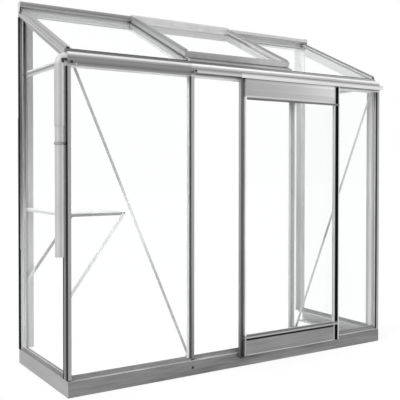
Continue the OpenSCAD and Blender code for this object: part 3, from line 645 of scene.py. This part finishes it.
def seal_tree():
    """A round bead along every path, with its corners turned on a radius."""
    tree = Growth("rubber_bead", {
        "Bead radius": "NodeSocketFloat",
        "Corner radius": "NodeSocketFloat",
        "Material": "NodeSocketMaterial",
    })
    path = tree.node("GeometryNodeMeshToCurve", {}, {"Mesh": tree.input("Geometry")})
    turned = tree.node("GeometryNodeFilletCurve", {}, {"Curve": path, "Radius": tree.input("Corner radius")})
    ring = tree.node("GeometryNodeCurvePrimitiveCircle", {}, {"Resolution": 8, "Radius": tree.input("Bead radius")})
    values = {"Curve": turned, "Profile Curve": ring, "Fill Caps": True}
    return tree.finish(tree.node("GeometryNodeCurveToMesh", {}, values))


# A bolt's head: its height, the straight share of it, the narrowing of its crown, and its washer
HEAD_HEIGHT = 4.0
STRAIGHT = 0.75
CROWN = 0.78
WASHER_SPREAD = 1.55
WASHER_HEIGHT = 1.2


def fastener_tree():
    """A chamfered hexagon head on a washer at every point, facing the way the point's attribute says."""
    tree = Growth("hexagon_fasteners", {
        "Head radius": "NodeSocketFloat",
        "Head height": "NodeSocketFloat",
        "Washer radius": "NodeSocketFloat",
        "Washer height": "NodeSocketFloat",
        "Material": "NodeSocketMaterial",
    })
    head_r, head_h = tree.input("Head radius"), tree.input("Head height")
    washer_r, washer_h = tree.input("Washer radius"), tree.input("Washer height")

    def times(a, b):
        return tree.node("ShaderNodeMath", {"operation": "MULTIPLY"}, {0: a, 1: b})

    def plus(a, b):
        return tree.node("ShaderNodeMath", {"operation": "ADD"}, {0: a, 1: b})

    def lifted(geometry, height):
        lift = tree.node("ShaderNodeCombineXYZ", {}, {"Z": height})
        return tree.node("GeometryNodeTransform", {}, {"Geometry": geometry, "Translation": lift})

    washer = tree.node("GeometryNodeMeshCylinder", {}, {
        "Vertices": 24, "Radius": washer_r, "Depth": washer_h})
    body = tree.node("GeometryNodeMeshCylinder", {}, {
        "Vertices": 6, "Radius": head_r, "Depth": times(head_h, STRAIGHT)})
    crown = tree.node("GeometryNodeMeshCone", {}, {
        "Vertices": 6, "Radius Bottom": head_r, "Radius Top": times(head_r, CROWN),
        "Depth": times(head_h, 1.0 - STRAIGHT)})
    head = tree.node("GeometryNodeJoinGeometry", {}, {"Geometry": [
        lifted(washer, times(washer_h, 0.5)),
        lifted(body, plus(washer_h, times(head_h, STRAIGHT / 2))),
        lifted(crown, plus(washer_h, times(head_h, STRAIGHT)))]})
    facing = tree.node("GeometryNodeInputNamedAttribute", {"data_type": "FLOAT_VECTOR"}, {"Name": "facing"})
    turn = tree.node("FunctionNodeAlignRotationToVector", {"axis": "Z"}, {"Vector": facing})
    spread = tree.node("GeometryNodeInstanceOnPoints", {}, {
        "Points": tree.input("Geometry"), "Instance": head, "Rotation": turn})
    return tree.finish(spread)


bead = seal_tree()
fastener = fastener_tree()


def paths_mesh(paths):
    """Paths as loose edges, each path a list of its points."""
    points, edges = [], []
    for path in paths:
        start = len(points)
        points += [vec(p) for p in path]
        edges += [(start + i, start + i + 1) for i in range(len(path) - 1)]
    mesh = bpy.data.meshes.new("paths")
    mesh.from_pydata(points, edges, [])
    return mesh


def points_mesh(spots):
    """Loose points, each with the direction that it faces."""
    mesh = bpy.data.meshes.new("points")
    mesh.from_pydata([vec(p) for p, _ in spots], [], [])
    facing = mesh.attributes.new("facing", "FLOAT_VECTOR", "POINT")
    for i, (_, direction) in enumerate(spots):
        facing.data[i].vector = direction
    return mesh


def seal(name, paths, body, material):
    """Beads along paths, as one piece."""
    settings = {"Bead radius": BEAD * MM, "Corner radius": BEAD_CORNER * MM, "Material": material}
    return grown(name, paths_mesh(paths), bead, settings, body, "black_nylon")


def fasten(name, spots, head, body, material):
    """Bolt heads of one radius at spots, as one piece."""
    settings = {
        "Head radius": head * MM, "Head height": HEAD_HEIGHT * MM,
        "Washer radius": head * WASHER_SPREAD * MM, "Washer height": WASHER_HEIGHT * MM, "Material": material,
    }
    return grown(name, points_mesh(spots), fastener, settings, body, "mill_aluminium")


# Where the trim runs: the gap at the head of the front beads, the lengths up the slope and the heights above the
# roof line of the panes' edges in the roof and the vent, and the sides of bars, wall posts and door pane
HEAD_GAP = 8.0
ROOF_REACH, ROOF_PANE = (24.0, 850.0), -8.0
VENT_REACH, VENT_PANE = (80.0, 795.0), 19.0
bar_out, bar_in = BAY + WEB / 2, BAY - WEB / 2
wall_web, wall_end = WALL_Y - WEB, WALL_Y - 0.2
pane_left, pane_right = DOOR_LEFT + STILE, DOOR_RIGHT - STILE


def up_slope(x, reach, n):
    """A straight path up the slope from one reach to the other, n above the roof line."""
    return [roof_point(x, s, n) for s in reach]


# Beads round the panes: pale vinyl on the frames, the vent, the door and the right rafter, worn rubber on the rest
# of the roof
front_sides = [[(x, -BEAD, LEDGE_Z + BEAD), (x, -BEAD, GUTTER_Z - HEAD_GAP)]
               for x in (-POST_IN + BEAD, -bar_out - STRIP - BEAD)]
end_out = -END - BEAD
end_y0, end_y1 = POST_BACK + BEAD, wall_web - BEAD
end_path = [(end_out, end_y1, FIN_LOW - BEAD), (end_out, end_y1, LEDGE_Z + BEAD),
            (end_out, end_y0, LEDGE_Z + BEAD), (end_out, end_y0, FIN_LOW - BEAD)]
gable_path = [(end_out, end_y1, FIN_HIGH + BEAD),
              (end_out, end_y1, roof_height(end_y1, -GABLE_DEPTH) - BEAD)]
left_paths = [*front_sides, end_path, gable_path]
right_paths = [[(-x, y, z) for x, y, z in path] for path in left_paths]
seal("pane_beads", left_paths + right_paths, "house", vinyl)

roof_lines = [up_slope(x, ROOF_REACH, ROOF_PANE + BEAD)
              for x in (-RAFTER_IN + BEAD, -bar_out - BEAD, bar_out + BEAD)]
seal("roof_seals", roof_lines, "house", worn_rubber)
seal("roof_bead_right", [up_slope(RAFTER_IN - BEAD, ROOF_REACH, ROOF_PANE + BEAD)], "house", vinyl)

vent_half = bar_in - BEAD
vent_sides = [up_slope(x, VENT_REACH, VENT_PANE + BEAD) for x in (-vent_half, vent_half)]
seal("vent_seal", vent_sides, "house", vinyl)
door_lines = [[(pane_left, PANE_FACE - BEAD, z), (pane_right, PANE_FACE - BEAD, z)]
              for z in (KICK_RAIL_TOP + BEAD, HEADER_LOW - BEAD)]
seal("door_seal", door_lines, "door", vinyl)

# Flat rubber strips on both sides of the left bar's web, each with the place of its back edge
under_gutter = GUTTER_Z - 0.5
strips = Parts()
for x, back in ((-bar_out - STRIP, -0.3), (-bar_in, -3.8)):
    strips.block((x, -20.0, LEDGE_Z), (x + STRIP, back, under_gutter))
strips.done("web_strips", "house", "black_nylon", worn_rubber)

# Strips up the outer sides of the posts
post_foot = PLINTH_TOP + 0.5
post_head = roof_height(wall_web, -GABLE_DEPTH)
post_strips = Parts()
post_strips.block((-POST_OUT - 1.0, WEB_FRONT + 0.6, post_foot), (-POST_OUT, 3.0, under_gutter))
post_strips.block((-SIDE - 1.0, POST_BACK - 8.0, post_foot), (-SIDE, POST_BACK, under_gutter))
post_strips.mirrored()
post_strips.block((SIDE, wall_web + 6.0, post_foot), (SIDE + 0.8, wall_end, post_head))

# The left wall post's strip, thinner near the roof, and its lip round the front of the post: how far each length
# stands out and in, and its foot and head
LOW_JOINT, HIGH_JOINT = 700.0, 1500.0
lip_y = wall_web - 2.0
lip_head = roof_height(lip_y, -GABLE_DEPTH)
for out, foot, head in ((3.2, post_foot, HIGH_JOINT), (1.6, HIGH_JOINT, post_head)):
    post_strips.block((-SIDE - out, lip_y, foot), (-SIDE, wall_end, head))
for out, into, foot, head in ((3.2, 5.0, post_foot, LOW_JOINT), (2.4, 2.6, LOW_JOINT, HIGH_JOINT),
                              (1.6, 3.2, HIGH_JOINT, lip_head)):
    post_strips.block((-SIDE - out, lip_y, foot), (-SIDE + into, wall_web, head))
post_strips.done("post_strips", "house", "black_nylon", rubber)

# Seal in the seam between the kick panel and its rail
seam = Parts()
seam.block((pane_left + 0.5, -47.8, KICK_TOP + 0.3), (pane_right - 0.5, -46.0, KICK_RAIL_LOW - 0.3))
seam.done("kick_seam_seal", "door", "black_nylon", rubber)

# Upright strip in the left wall post, a painted shadow of the gap there: black under the roof and paler lower down
shadow_gap_front = 724.0
shadow_gap_strip = Parts()
shadow_gap_strip.block((-1116.0, shadow_gap_front, 900.0), (-1108.0, 741.5, roof_height(shadow_gap_front, -GABLE_DEPTH) - 1.0))
shadow_gap_strip.done("wall_post_shadow_gap", "house", "black_nylon", painted_shadow_gap)

# Dark grey strip under the header, carried over the face of the right stile: painted shade at the header's foot
shade_strip = Parts()
shade_strip.block((pane_left + 0.5, -49.4, HEADER_LOW - 17.0), (DOOR_RIGHT - 1.0, -46.0, HEADER_LOW - 4.5))
shade_strip.block((pane_right, -51.0, HEADER_LOW - 15.0), (DOOR_RIGHT - 2.0, -49.9, HEADER_LOW - 5.0))
shade_strip.done("header_foot_strip", "door", "black_nylon", painted_shade_grey)

# Pale lip at the header's foot, and the pale strip that closes the gap from its head up to the track
edges = Parts()
edges.block((pane_left + 0.5, -48.8, HEADER_LOW - 4.4), (pane_right, -44.0, HEADER_LOW))
edges.block((pane_left, -48.0, DOOR_TOP - 1.0), (pane_right, -44.0, DOOR_TOP + 6.0))
edges.done("header_edge_strips", "door", "mill_aluminium", strip_metal)

# Lip under the face of the track
lip = Parts()
lip.block((DOOR_LEFT, -61.6, TRACK_LOW - 4.2), (TRACK_RIGHT, -59.4, TRACK_LOW + 0.2))
lip.done("track_lip", "house", "mill_aluminium", lip_metal)

# Capping strip along the top of the right gable rafter
capping = Parts()
capping.up_strip(roof_point(RAFTER_OUT, 0.0, 0.8), 24, 840, 5, -20.0)
capping.done("gable_capping", "house", "black_nylon", capping_rubber)

# Rounded end of the ridge at the right
KNOB_RADIUS = 20.0
half_round = [(KNOB_RADIUS * math.cos(a), KNOB_RADIUS * math.sin(a)) for a in (math.pi * i / 12 for i in range(13))]
knob = Parts()
knob.prism(half_round, (1137.0, 766.0, 2196.0), (0, 1, 0), (0, 0, 1), -14.0, 2.0)
knob.done("ridge_end", "house", "pipe_plastic", cap_plastic)

# Black clip that holds the outlet to the gutter: the part on the bend and the arm to the gutter's end
clip = Parts()
clip.block((-1168.0, -26.5, 1741.0), (-1154.0, -12.0, 1762.0))
clip.block((-1154.5, -26.0, 1752.0), (-1137.0, -12.0, 1763.0))
clip.done("outlet_clip", "house", "black_nylon", nylon)

# Stay along the inside of the right vent bar
stay = Parts()
stay.up_strip(roof_point(bar_in - 0.2, 490.0, 4.0), 0, 340, 9, -2.4)
stay.done("vent_stay", "house", "black_nylon", worn_rubber)

# Plugs in the open ends of the profiles: rafter, end tie, back of the corner post and foot of the glazing bar on
# both sides, and the front of the corner post on the left, where no door guide passes
rafter_foot = 20.0
plugs = Parts()
plugs.block((-RAFTER_OUT + 1.5, rafter_foot - 1.5, EAVES - 5.0),
            (-RAFTER_IN - 1.5, rafter_foot, roof_height(rafter_foot, 0.0) - 3))
plugs.block((-SIDE - 1.5, 22.0, 1748.0), (-SIDE, 44.0, 1760.0))
plugs.block((-POST_OUT - 1.2, 38.0, PLINTH_TOP + 0.4), (-POST_OUT + 2.0, 54.0, PLINTH_TOP + 14))
plugs.block((-BAY - 10.5, WEB_FRONT - 1.0, PLINTH_TOP + 5), (-BAY + 10.5, WEB_FRONT, PLINTH_TOP + 12))
plugs.mirrored()
plugs.block((-SIDE, WEB_FRONT - 1.2, PLINTH_TOP + 0.4), (-SIDE + 16.0, WEB_FRONT + 0.2, PLINTH_TOP + 6))
plugs.done("profile_plugs", "house", "black_nylon", nylon)
stile_plug = Parts()
stile_plug.block((DOOR_LEFT + 1.0, DOOR_FACE + 0.5, DOOR_FOOT - 7.0),
                 (DOOR_LEFT + 30.0, DOOR_FACE + 20.0, DOOR_FOOT + 0.1))
stile_plug.done("stile_foot_plug", "door", "black_nylon", nylon)

# Bolts at the gutter's ends and face and at the foot of the left bar, and those that hold the braces
edge_bolts = [
    ((-1135.0, 12.0, 1774.0), (-1, 0, 0)),
    ((-1112.0, WEB_FRONT, 1748.0), (0, -1, 0)),
    ((-BAY, WEB_FRONT, 45.0), (0, -1, 0)),
]
edge_bolts += [((-x, y, z), (-a, b, c)) for (x, y, z), (a, b, c) in edge_bolts[:2]]
fasten("edge_bolts", edge_bolts, 5.0, "house", dark_bolt_metal)
brace_bolts = [((side * 1086.0, WEB_FRONT, 1737.0), (0, -1, 0)) for side in (-1, 1)]
brace_bolts += [((side * 404.0, 8.3, 112.0), (0, -1, 0)) for side in (-1, 1)]
fasten("brace_bolts", brace_bolts, 3.8, "house", pale_bolt_metal)


def stage_floor(reach, pale, shade):
    """A wide floor that looks pale to the camera, glass and metal, and keeps the greenhouse's shadow.

    pale is its colour for other rays and its glow, and shade is the grey that the shadow darkens."""
    mesh = bpy.data.meshes.new("floor")
    mesh.from_pydata([(-reach, -reach, 0), (reach, -reach, 0), (reach, reach, 0), (-reach, reach, 0)],
                     [], [(0, 1, 2, 3)])
    s = Shade("pale_floor")
    seen = s.node("ShaderNodeLightPath", {}, {})
    shown = Val(s, seen.outputs["Is Camera Ray"])
    for ray in ("Is Glossy Ray", "Is Transmission Ray"):
        shown = shown.math("MAXIMUM", Val(s, seen.outputs[ray]))
    plain = s.value("ShaderNodeBsdfDiffuse", {}, {"Color": (pale, pale, pale, 1.0)})
    dim = s.value("ShaderNodeBsdfDiffuse", {}, {"Color": (shade, shade, shade, 1.0)})
    glow = s.value("ShaderNodeEmission", {}, {"Color": (pale, pale, pale, 1.0), "Strength": 1.0})
    lit = s.value("ShaderNodeAddShader", {}, {0: dim, 1: glow})
    mesh.materials.append(s.finish(s.value("ShaderNodeMixShader", {}, {0: shown, 1: plain, 2: lit})))
    floor = bpy.data.objects.new("floor", mesh)
    bpy.context.scene.collection.objects.link(floor)


def daylight(level):
    """A plain sky that lights at its level and shows as white."""
    world = bpy.data.worlds.new("plain_sky")
    bpy.context.scene.world = world
    world.use_nodes = True
    tree = world.node_tree
    tree.nodes.clear()
    paths = tree.nodes.new("ShaderNodeLightPath")
    shown = paths.outputs["Is Camera Ray"]
    for ray in ("Is Glossy Ray", "Is Transmission Ray"):
        either = tree.nodes.new("ShaderNodeMath")
        either.operation = "MAXIMUM"
        tree.links.new(shown, either.inputs[0])
        tree.links.new(paths.outputs[ray], either.inputs[1])
        shown = either.outputs[0]
    strength = tree.nodes.new("ShaderNodeMapRange")
    tree.links.new(shown, strength.inputs["Value"])
    strength.inputs["To Min"].default_value = level
    strength.inputs["To Max"].default_value = 1.0
    sky = tree.nodes.new("ShaderNodeBackground")
    sky.inputs["Color"].default_value = (1.0, 1.0, 1.0, 1.0)
    tree.links.new(strength.outputs["Result"], sky.inputs["Strength"])
    tree.links.new(sky.outputs[0], tree.nodes.new("ShaderNodeOutputWorld").inputs["Surface"])


def lamp(name, toward, strength, spread):
    """A far lamp that shines toward a direction, its spread in degrees."""
    light = bpy.data.lights.new(name, "SUN")
    light.energy = strength
    light.angle = math.radians(spread)
    made = bpy.data.objects.new(name, light)
    made.rotation_euler = Vector(toward).to_track_quat("-Z", "Y").to_euler()
    bpy.context.scene.collection.objects.link(made)


stage_floor(40.0, 0.8, 0.22)
daylight(0.62)
lamp("key", (0.75, 0.35, -0.56), 1.9, 35.0)

# Camera at the photograph's place, with its framing in the shift
eye = bpy.data.cameras.new("eye")
eye.lens = 63.050
eye.sensor_width = 36.0
eye.shift_x = -0.04392
eye.shift_y = -0.04438
eye.clip_end = 100.0
camera = bpy.data.objects.new("eye", eye)
camera.location = (-2.4773, -3.4709, 1.1890)
camera.rotation_euler = (math.radians(88.9887), math.radians(-0.077), math.radians(-33.35))
bpy.context.scene.collection.objects.link(camera)
bpy.context.scene.camera = camera
bpy.context.scene.view_settings.view_transform = "Standard"
